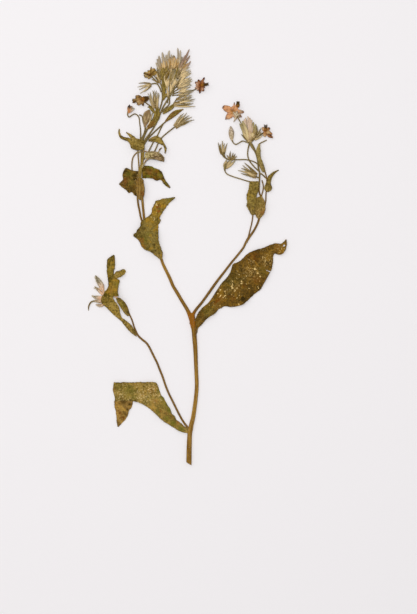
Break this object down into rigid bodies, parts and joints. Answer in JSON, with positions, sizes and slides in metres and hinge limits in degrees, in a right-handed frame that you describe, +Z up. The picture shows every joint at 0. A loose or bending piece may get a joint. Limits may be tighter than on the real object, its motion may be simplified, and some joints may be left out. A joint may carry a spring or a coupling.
{
  "type": "pressed borage plant",
  "caption": "Cut, dried and pressed flowering stem of borage with broad leaves, bristly calyces and dried star flowers, lying flat on a surface.",
  "frame": {"origin": "on the surface that the plant lies on, under the middle of its bounding box", "axes": "+Y along the stem from its cut end to the flower heads, +Z up from the surface, +X to the right as seen from above"},
  "size_m": [0.1354, 0.2833, 0.0068],
  "materials": {
    "stem": "dry ridged stem, satin, bristly",
    "leaf": "dry crinkled leaf, matte, with raised veins",
    "calyx": "dry, matte, covered in pale bristles",
    "petal": "thin dried petal, matte",
    "anther": "dark dried anthers, satin"
  },
  "bodies": {
    "root": {"leaf_head_left": "leaf", "main_stem": "stem", "leaf_fork": "leaf", "leaf_foot": "leaf", "leaf_left_branch": "leaf", "leaf_head_right": "leaf", "leaf_head_stem": "leaf", "left_cyme": "calyx", "drooping_calyx": "calyx", "corolla_5": "petal", "right_cyme": "calyx", "leaf_right_low_1": "leaf", "leaf_right_low_2": "leaf", "leaf_right_narrow": "leaf", "leaf_right_side": "leaf", "low_cyme": "calyx", "leaf_low_a": "leaf", "leaf_low_b": "leaf", "leaf_low_c": "leaf", "leaf_low_d": "leaf", "leaf_collar_left": "leaf", "leaf_collar_right": "leaf", "corolla_1": "petal", "anther_cone_1": "anther", "corolla_2": "petal", "anther_cone_2": "anther", "corolla_4": "petal", "anther_cone_4": "anther", "corolla_6": "petal", "anther_cone_6": "anther", "anther_cone_5": "anther", "corolla_3": "petal", "corolla_7": "petal"}
  },
  "joints": []
}
